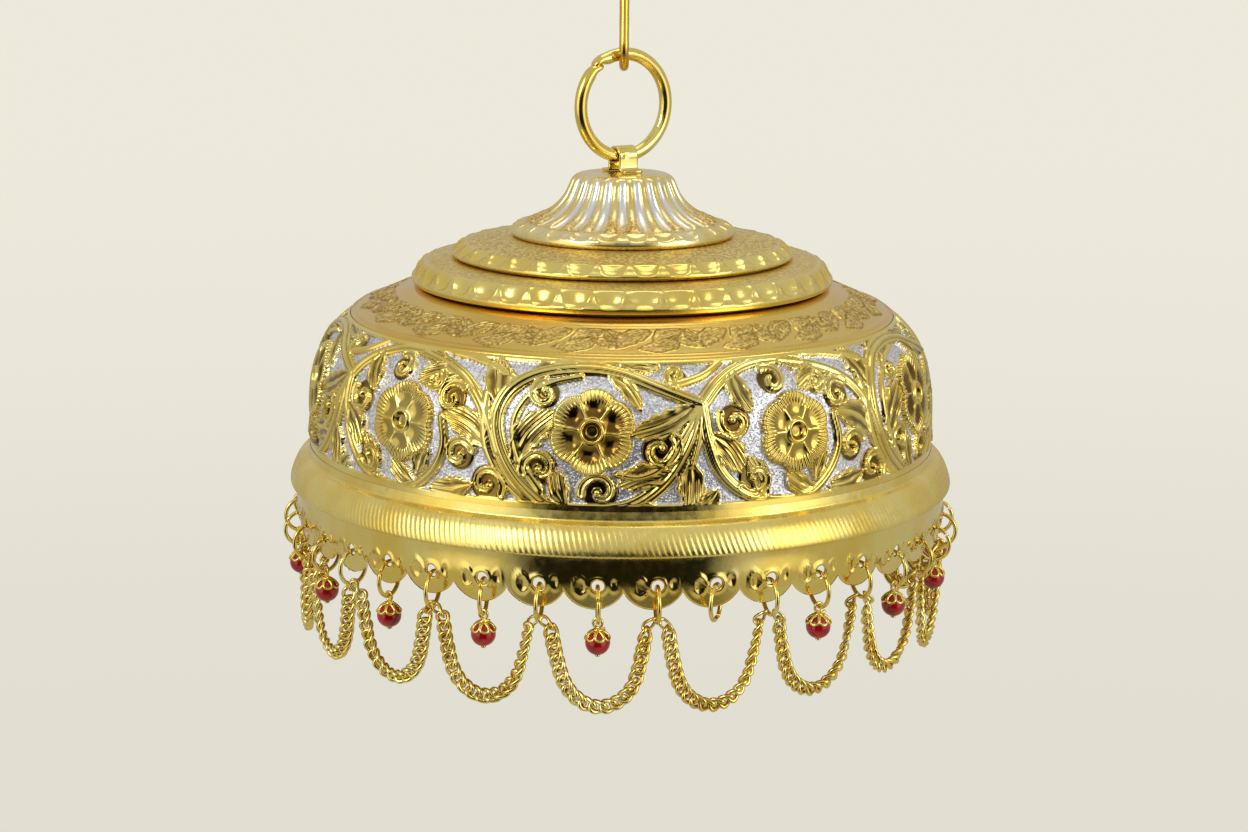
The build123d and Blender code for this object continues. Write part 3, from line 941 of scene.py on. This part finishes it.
def build_hook():
    upper_z = SEAT_Z - HOOK_UPPER_R + HOOK_WIRE_R
    lower_z = upper_z - HOOK_SPACING
    lean = np.arcsin((HOOK_UPPER_R + HOOK_LOWER_R) / HOOK_SPACING)
    up = np.linspace(radians(205), -lean, 60)
    down = np.linspace(pi - lean, pi - lean + radians(190), 44)
    upper = np.stack([HOOK_UPPER_R * np.cos(up), upper_z + HOOK_UPPER_R * np.sin(up)], -1)
    lower = np.stack([HOOK_LOWER_R * np.cos(down), lower_z + HOOK_LOWER_R * np.sin(down)], -1)
    shank = upper[-1] + (lower[0] - upper[-1]) * np.linspace(0.04, 0.96, 24)[:, None]
    flat = np.vstack([upper, shank, lower])
    flat = resampled(flat, 0.45)
    path = np.stack([np.zeros(len(flat)), flat[:, 0], flat[:, 1]], -1)
    count = len(path)
    k = np.arange(count)
    ends = np.minimum(k, count - 1 - k)
    radius = HOOK_WIRE_R * np.sqrt(1 - (np.clip(3 - ends, 0, 3) / 3.4) ** 2)
    radius *= 1.0 + 0.012 * np.sin(k * 0.7)
    verts, faces = tube(path, radius, 20, up=(1, 0, 0))
    make_piece("s_hook", verts, faces, HOOK_WIRE, "hook", ("hanging_hook",))


def build_ring():
    """A ring of thick wire whose hammered ends lap over each other at the upper left."""
    joint = radians(128)
    t = np.linspace(0, 1, 200)
    overlap = radians(9)
    turn = joint + overlap / 2 - t * (2 * pi + overlap)
    near_start = smoothstep(0.060, 0.0, t)
    near_end = smoothstep(0.940, 1.0, t)
    squeeze = near_start + near_end
    radial = RING_R + 0.50 * near_start - 0.52 * near_end + 0.25 * np.sin(squeeze * pi)
    aside = 0.10 * near_start - 0.10 * near_end
    x = radial * np.cos(turn)
    z = RING_Z + radial * np.sin(turn)
    path = round_axis(np.stack([x, aside, z], -1), RING_YAW)
    radius = 1.2 * (1 - 0.10 * squeeze) * (1 + 0.05 * squeeze * np.sin(t * 700))
    radius[:3] *= (0.55, 0.8, 0.94)
    radius[-3:] *= (0.94, 0.8, 0.55)
    flat = np.stack([1 - 0.45 * squeeze, 1 + 0.10 * squeeze], -1)
    centre = np.array([0, 0, RING_Z])
    outward = path[0] - centre
    verts, faces = tube(path, radius, 24, flat=flat, up=outward / np.linalg.norm(outward))
    make_piece("wire_ring", verts, faces, RING_WIRE, "ring", ("suspension_ring",))


def build_strap():
    """A bent strip: one foot forward, round the ring, and a foot splayed to the back."""
    loop = 1.75
    turn = np.linspace(radians(-12), radians(192), 30)
    over = np.stack([loop * np.cos(turn), STRAP_Z + loop * np.sin(turn)], -1)
    front = [(-3.4, FINIAL_TOP + 0.42), (-2.4, FINIAL_TOP + 0.45), (-1.85, FINIAL_TOP + 1.0),
             (-1.72, STRAP_Z - 1.2)]
    back = [(1.72, STRAP_Z - 1.2), (1.9, FINIAL_TOP + 1.0), (2.6, FINIAL_TOP + 0.5), (4.0, FINIAL_TOP + 0.42)]
    line = np.vstack([np.array(back)[::-1], over, np.array(front)[::-1]])
    line = rounded_line(line[::-1], 0.16)
    along = np.gradient(line, axis=0)
    along /= np.linalg.norm(along, axis=1)[:, None]
    normal = np.stack([-along[:, 1], along[:, 0]], -1)
    half_wide, half_thick, bevel = 2.05, 0.27, 0.10
    middle = np.linspace(-half_wide + bevel, half_wide - bevel, 17)
    across = np.concatenate([[-half_wide], middle, [half_wide]])
    level = np.full(len(across), half_thick)
    level[0] = level[-1] = half_thick - bevel
    section = [(s, h) for s, h in zip(across, level)] + [(s, -h) for s, h in zip(across[::-1], level[::-1])]
    section = np.array(section)
    verts = []
    for k in range(len(line)):
        at = line[k][None] + section[:, 1][:, None] * normal[k][None]
        side = section[:, 0] + 0.06 * np.sin(k * 0.35) * (np.abs(section[:, 0]) > 1.9)
        dent_z = STRAP_Z + 0.1
        dent = np.exp(-((side + 0.7) / 0.45) ** 2 - ((at[:, 1] - dent_z) / 0.42) ** 2) * (at[:, 0] < 0)
        depth = at[:, 0] + 0.16 * dent
        verts.append(round_axis(np.stack([side, depth, at[:, 1]], -1), RING_YAW))
    count = len(section)
    faces = [tuple(face) for face in grid_faces(len(line), count, True)]
    faces.append(tuple(range(count))[::-1])
    faces.append(tuple(range((len(line) - 1) * count, len(line) * count)))
    make_piece("bent_strap", np.vstack(verts), faces, RING_WIRE, "canopy", ("ring_strap",))


# ---- Fringe -----------------------------------------------------------------------
JUMP_R = 3.115
JUMP_WIRE_R = 0.385
HOLE_R = CREASE_R + SKIRT_SLOPE * HOLE_Z
SHEET_MID_R = HOLE_R - 0.3
JUMP_PIVOT_Z = -5.395
JUMP_Z = JUMP_PIVOT_Z - JUMP_R
JUMP_FOOT_Z = JUMP_Z - JUMP_R
EYE_WIRE_R = 0.25
EYE_R = 0.8
EYE_Z = JUMP_FOOT_Z + JUMP_WIRE_R + EYE_WIRE_R + 0.02 - EYE_R
BEAD_R = 2.18
CAP_R = 2.38
BEAD_Z = EYE_Z - EYE_R - EYE_WIRE_R - 0.05 - CAP_R


def jump_ring(yaw, cut):
    """A wire ring at the front hole, turned a little on the spot, with its cut ends just apart."""
    turn = cut + np.linspace(0.05, 2 * pi - 0.05, 56)
    out = JUMP_R * np.cos(turn)
    aside = np.linspace(-0.07, 0.07, len(turn))
    z = JUMP_Z + JUMP_R * np.sin(turn)
    x = out * sin(yaw) + aside
    y = -SHEET_MID_R - out * cos(yaw)
    return tube(np.stack([x, y, z], -1), JUMP_WIRE_R, 12, up=(1, 0, 0))


def ring_yaw(angle):
    """How far a ring has turned in its hole: most have been swung towards the front."""
    return -0.34 * sin(angle) + radians(float(rng.uniform(-6, 6)))


def bead_fittings(yaw):
    """The eye pin, and the openwork cap of wire loops over the bead."""
    parts = []
    centre = np.array([0.0, -SHEET_MID_R, 0.0])
    turn = np.linspace(radians(-80), radians(262), 34)
    eye = np.stack([EYE_R * np.cos(turn), 0 * turn, EYE_Z + EYE_R * np.sin(turn)], -1)
    eye[:, 1] += np.linspace(-0.16, 0.16, len(turn))
    tail = eye[0] + np.array([[1.15, -0.05, -0.05], [0.6, -0.02, -0.22]])
    parts.append(tube(rounded_line(np.vstack([tail, eye]), 0.16) + centre, EYE_WIRE_R, 9))
    stem = np.array([[0, 0, EYE_Z - EYE_R + 0.1], [0, 0, BEAD_Z + BEAD_R - 0.1]])
    parts.append(tube(resampled(stem, 0.2) + centre, EYE_WIRE_R, 9, up=(1, 0, 0)))
    loops = 7
    cap = CAP_R - 0.12
    for k in range(loops):
        middle = 2 * pi * k / loops + yaw
        t = np.linspace(0, 2 * pi, 34, endpoint=False)
        polar = radians(44) - radians(27) * np.cos(t)
        wide = 0.40 * np.sin(t) * (1 - 0.25 * np.cos(t))
        angle = middle + wide
        path = np.stack([cap * np.sin(polar) * np.sin(angle), -cap * np.sin(polar) * np.cos(angle),
                         BEAD_Z + cap * np.cos(polar)], -1)
        parts.append(tube(path + centre, 0.24, 8, closed=True))
    collar = np.linspace(0, 2 * pi, 22, endpoint=False)
    for polar, wire in ((radians(17), 0.22), (radians(7), 0.20)):
        ring = np.stack([cap * sin(polar) * np.cos(collar), cap * sin(polar) * np.sin(collar),
                         np.full(22, BEAD_Z + cap * cos(polar) + 0.12)], -1)
        parts.append(tube(ring + centre, wire, 7, closed=True))
    parts.append(ball((0, -SHEET_MID_R, BEAD_Z - BEAD_R - 0.12), 0.5, 8, 14, 0.6))
    return joined(parts)


def faceted_bead():
    """The glass bead, very slightly uneven, with its drilled ends flattened."""
    verts, faces = ball((0, 0, 0), BEAD_R, 22, 36)
    polar = verts[:, 2] / BEAD_R
    verts[:, 2] = np.clip(verts[:, 2], -0.955 * BEAD_R, 0.955 * BEAD_R)
    angle = np.arctan2(verts[:, 1], verts[:, 0])
    verts[:, :2] *= (1 + 0.008 * np.cos(angle * 5 + polar * 3))[:, None]
    return verts + np.array([0, -SHEET_MID_R, BEAD_Z]), faces


def build_beads():
    number = 0
    for at in range(SWAGS):
        angle = bearing(2 * at)
        yaw = ring_yaw(angle)
        cut = radians(float(rng.uniform(20, 70)))
        if at == EMPTY_PLACE:
            verts, faces = jump_ring(radians(-33), radians(250))
            make_piece("lone_ring", round_axis(verts, angle), faces, FINDINGS, "loose_ring",
                       ("empty_jump_ring",))
            continue
        number += 1
        body = f"bead_{number:02d}"
        verts, faces = jump_ring(yaw, cut)
        make_piece(f"bead_ring_{number:02d}", round_axis(verts, angle), faces, FINDINGS, body)
        verts, faces = bead_fittings(float(rng.uniform(0, 1)))
        make_piece(f"bead_cap_{number:02d}", round_axis(verts, angle), faces, FINDINGS, body)
        verts, faces = faceted_bead()
        make_piece(f"glass_bead_{number:02d}", round_axis(verts, angle), faces, GLASS, body,
                   (f"bead_drop_{number:02d}",))


def build_chain_rings():
    for at in range(SWAGS):
        angle = bearing(2 * at + 1)
        verts, faces = jump_ring(ring_yaw(angle), radians(float(rng.uniform(100, 160))))
        make_piece(f"chain_ring_{at + 1:02d}", round_axis(verts, angle), faces, FINDINGS, "canopy",
                   ("chain_jump_rings",) if at == 0 else ())


CHAIN_SIDE = 1.7
CHORD_HALF = SHEET_MID_R * sin(PITCH)
CHORD_R = SHEET_MID_R * cos(PITCH)
SWAG_TOP = -11.6
SWAG_HALF = [(1.5, -26.9), (4.3, -25.3), (6.2, -22.6), (7.1, -19.2), (7.9, -15.5),
             (CHORD_HALF - CHAIN_SIDE, SWAG_TOP)]
LINK_PITCH = 1.84
LINK_WIRE_R = 0.39
ROUTE_STEP = 0.1
CHAIN_GAP = 15          # steps of the route left to the end link on each side


def route_line(points):
    """The smooth line of a NURBS spline with these control points, in mm."""
    curve = bpy.data.curves.new("route", "CURVE")
    curve.dimensions = "3D"
    curve.resolution_u = 24
    spline = curve.splines.new("NURBS")
    spline.points.add(len(points) - 1)
    for point, target in zip(place(points), spline.points):
        target.co = (*point, 1.0)
    spline.order_u = 3
    spline.use_endpoint_u = True
    holder = new_object("route", curve)
    bpy.context.view_layer.update()
    mesh = bpy.data.meshes.new_from_object(holder.evaluated_get(bpy.context.evaluated_depsgraph_get()))
    line = np.array([v.co for v in mesh.vertices])
    bpy.data.meshes.remove(mesh)
    bpy.data.objects.remove(holder)
    bpy.data.curves.remove(curve)
    line = line / MM
    line[:, 2] -= CREASE_Z
    return line


def curb_link():
    """One twisted link, long along X, wide along Y, so that neighbours pass over and under."""
    t = np.linspace(0, 2 * pi, 26, endpoint=False)
    a, b = 1.42, 1.02
    path = np.stack([a * np.cos(t), b * np.sin(t), 0.46 * np.sin(2 * t)], -1)
    return tube(path, LINK_WIRE_R, 8, closed=True)


def laid(link, centre, along, facing, roll=0.0):
    """A link set along a direction, its face turned by roll from facing."""
    along = along / np.linalg.norm(along)
    across = np.cross(facing, along)
    across = across / np.linalg.norm(across) * cos(roll) + facing * sin(roll)
    through = np.cross(along, across)
    return centre + link[:, :1] * along + link[:, 1:2] * across + link[:, 2:] * through


def chain_links(fine, twist):
    """The run of twisted links, and the end link on the jump ring at each side."""
    link, faces = curb_link()
    last = len(fine) - 1
    total = ROUTE_STEP * last
    count = int(round(total / LINK_PITCH))
    stretched = link * (total / count / LINK_PITCH, 1.0, 1.0)
    parts = []
    for k in range(count):
        spot = (k + 0.5) / count
        i = int(spot * last)
        along = fine[min(i + 6, last)] - fine[max(i - 6, 0)]
        roll = twist * (spot - 0.2) + 0.16 * float(rng.uniform(-1, 1))
        parts.append((laid(stretched, fine[i], along, np.array([0.0, -1.0, 0.0]), roll), faces))
    for side, end in ((-1, fine[0]), (1, fine[-1])):
        ring = np.array([side * CHORD_HALF, -CHORD_R, JUMP_FOOT_Z + 0.45])
        centre = (ring + end) / 2 + np.array([-0.4 * side, 0.6 * side, 0])
        facing = np.array([0.3 * side, -1.0, 0.0])
        parts.append((laid(link * (1.0, 0.65, 0.9), centre, ring - end, facing), faces))
    return joined(parts)


def build_swags():
    right = [(s, -CHORD_R, z) for s, z in SWAG_HALF]
    left = [(-s, y, z) for s, y, z in reversed(right)]
    depth = [(z - SWAG_TOP) / (SWAG_HALF[0][1] - SWAG_TOP) for _, _, z in left + right]
    for at in range(SWAGS):
        sag = float(rng.uniform(-0.5, 0.3))
        lean = float(rng.uniform(-0.5, 0.5))
        points = [(x + lean * d, y, z + sag * d) for (x, y, z), d in zip(left + right, depth)]
        whole = resampled(route_line(points), ROUTE_STEP)
        twist = float(rng.uniform(0.7, 1.5)) * (1 if rng.uniform() < 0.8 else -1)
        verts, faces = chain_links(whole[CHAIN_GAP:-CHAIN_GAP], twist)
        angle = bearing(2 * at)
        piece = make_piece(f"curb_chain_{at + 1:02d}", round_axis(verts, angle), faces, CHAIN,
                           f"swag_{at + 1:02d}", (f"chain_swag_{at + 1:02d}",))
        path = place(round_axis(whole[::4], angle))
        tuple(path[0])


# ---- Stage: camera, floor, light ------------------------------------------------
RIM_R = 63.5
VIEW_DISTANCE = 7.6 * RIM_R
VIEW_HEIGHT = 1.82 * RIM_R
VIEW_PITCH = radians(12.2)
VIEW_ROLL = radians(0.5)
SENSOR = 36.0
LENS = 73.6875
SHIFT_X = 0.002484


def build_camera():
    data = bpy.data.cameras.new("camera")
    data.sensor_width = SENSOR
    data.lens = LENS
    data.shift_x = SHIFT_X
    data.clip_start = 0.01
    data.clip_end = 50.0
    camera = new_object("camera", data)
    forward = Vector((0, cos(VIEW_PITCH), -sin(VIEW_PITCH)))
    level = Vector((1, 0, 0))
    upright = level.cross(forward)
    right = level * cos(VIEW_ROLL) + upright * sin(VIEW_ROLL)
    up = upright * cos(VIEW_ROLL) - level * sin(VIEW_ROLL)
    spot = Vector(place([(0, -VIEW_DISTANCE, VIEW_HEIGHT)])[0])
    basis = Matrix((right, up, -forward)).transposed().to_4x4()
    camera.matrix_world = Matrix.Translation(spot) @ basis
    bpy.context.scene.camera = camera


BACKDROP = (0.80, 0.78, 0.68, 1.0)
FLOOR_DROP = 1.3        # metres


def build_world():
    """A white light tent with a dim opening on the side the viewer stands."""
    world = bpy.data.worlds.new("tent")
    bpy.context.scene.world = world
    world.use_nodes = True
    sky = Wiring(world.node_tree)
    sky.nodes.clear()
    direction = sky.add("ShaderNodeTexCoord").outputs["Generated"]

    def facing(way, low, high, to_low, to_high):
        """A soft step in how nearly the direction looked at agrees with a way."""
        node = sky.add("ShaderNodeVectorMath", operation="DOT_PRODUCT")
        sky.feed(node.inputs[0], direction)
        sky.feed(node.inputs[1], way)
        return sky.ranged(node.outputs["Value"], low, high, to_low, to_high)

    def background(colour, strength):
        node = sky.add("ShaderNodeBackground")
        sky.feed(node.inputs["Color"], colour)
        sky.feed(node.inputs["Strength"], strength)
        return node.outputs[0]

    # the dark of the room behind the viewer, seen in whatever faces forward and down
    room = sky.times(facing((1, 0, 0), 0.44, 0.66, 1.0, 0.0), facing((-1, 0, 0), 0.44, 0.66, 1.0, 0.0),
                     facing((0, -1, 0), 0.15, 0.40, 0.0, 1.0), facing((0, 0, 1), 0.16, 0.42, 1.0, 0.0))
    keep = sky.math("MULTIPLY_ADD", room, -0.975, 1.0)
    # soft boxes to both sides of the viewer, and a brighter ceiling
    left = facing((-0.80, -0.58, 0.10), 0.86, 0.96, 0.0, 0.75)
    right = facing((0.82, -0.56, 0.06), 0.88, 0.97, 0.0, 0.75)
    ceiling = facing((0, 0, 1), -0.30, 0.80, 0.49, 0.61)
    strength = sky.times(sky.math("ADD", sky.math("ADD", left, right), ceiling), keep)
    choose = sky.add("ShaderNodeMixShader")
    sky.feed(choose.inputs["Fac"], sky.add("ShaderNodeLightPath").outputs["Is Camera Ray"])
    sky.feed(choose.inputs[1], background((1.0, 0.985, 0.94, 1.0), strength))
    sky.feed(choose.inputs[2], background(BACKDROP, facing((0, 0, 1), -0.34, -0.10, 0.94, 1.05)))
    sky.feed(sky.add("ShaderNodeOutputWorld").inputs["Surface"], choose.outputs[0])


def build_floor():
    """A pale round floor well below the fringe, fading out towards its edge."""
    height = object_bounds()[0].z - FLOOR_DROP
    radii = np.linspace(0.0, 3.2, 40)[1:]
    sides = 96
    turn = full_turn(sides)
    verts = [(0.0, 0.0, height)]
    for r in radii:
        verts.extend((r * cos(a), r * sin(a), height) for a in turn)
    faces = [(0, 1 + k, 1 + (k + 1) % sides) for k in range(sides)]
    faces += (1 + grid_faces(len(radii), sides, True)[:, ::-1]).tolist()
    mesh = bpy.data.meshes.new("floor")
    mesh.from_pydata(verts, [], faces)
    look = Look("pale_floor", metallic=0.0, roughness=0.85)
    look.colour(look.mix(look.noise(3.0, 2.0), (0.74, 0.715, 0.63, 1.0), (0.80, 0.775, 0.70, 1.0)))
    flat = look.add("ShaderNodeMapping")
    flat.inputs["Scale"].default_value = (1.0, 1.0, 0.0)
    look.feed(flat.inputs["Vector"], look.place)
    away = look.add("ShaderNodeVectorMath", operation="LENGTH")
    look.feed(away.inputs[0], flat.outputs["Vector"])
    look.feed(look.shader.inputs["Alpha"], look.ranged(away.outputs["Value"], 1.0, 3.0, 1.0, 0.0))
    mesh.materials.append(look.material)
    floor = new_object("floor", mesh)


def area_light(name, spot, size, power, colour):
    data = bpy.data.lights.new(name, "AREA")
    data.shape = "DISK"
    data.size = size
    data.energy = power
    data.color = colour
    light = new_object(name, data)
    spot = Vector(spot)
    aim = Vector(place([(0, 0, 15)])[0])
    light.location = spot
    light.rotation_euler = (aim - spot).to_track_quat("-Z", "Y").to_euler()


def build_lights():
    area_light("key", (-0.75, -0.75, 0.55), 0.5, 3.6, (1.0, 0.98, 0.93))
    area_light("fill", (0.9, -0.55, 0.25), 0.6, 2.4, (1.0, 0.97, 0.92))
    area_light("top", (0.1, 0.2, 0.9), 0.6, 1.2, (1.0, 0.99, 0.96))


# ---- Build ------------------------------------------------------------------------
band_profile, band_lift = build_band()
build_shoulder()
build_reverse(band_profile, band_lift)
build_tier("gadrooned_tier_large", "tier_large",
           [(36.4, 37.6), (38.6, 37.6), (39.8, 38.0), (40.1, 38.6), (39.7, 39.2), (39.2, 39.8), (38.7, 40.9),
            (37.9, 41.7), (36.6, 42.0), (34.6, 42.3), (32.4, 42.5), (29.5, 42.45), (26.6, 42.4)],
           40, radians(1.4), 960, 4.6, 8.3, 8.6, 0.7)
build_tier("gadrooned_tier_small", "tier_small",
           [(29.0, 42.6), (31.2, 42.6), (32.2, 42.9), (32.5, 43.3), (32.1, 43.8), (31.6, 44.2), (31.0, 44.8),
            (30.0, 45.2), (27.4, 45.7), (24.2, 46.2), (21.4, 46.5), (18.6, 46.45), (17.0, 46.4)],
           33, radians(2.4), 792, 4.1, 7.2, 7.3, 0.95)
build_finial()
build_rim()
build_skirt()
build_hook()
build_ring()
build_strap()
build_chain_rings()
build_beads()
build_swags()
build_camera()
bpy.context.scene.view_settings.view_transform = "Standard"
build_world()
build_lights()
build_floor()
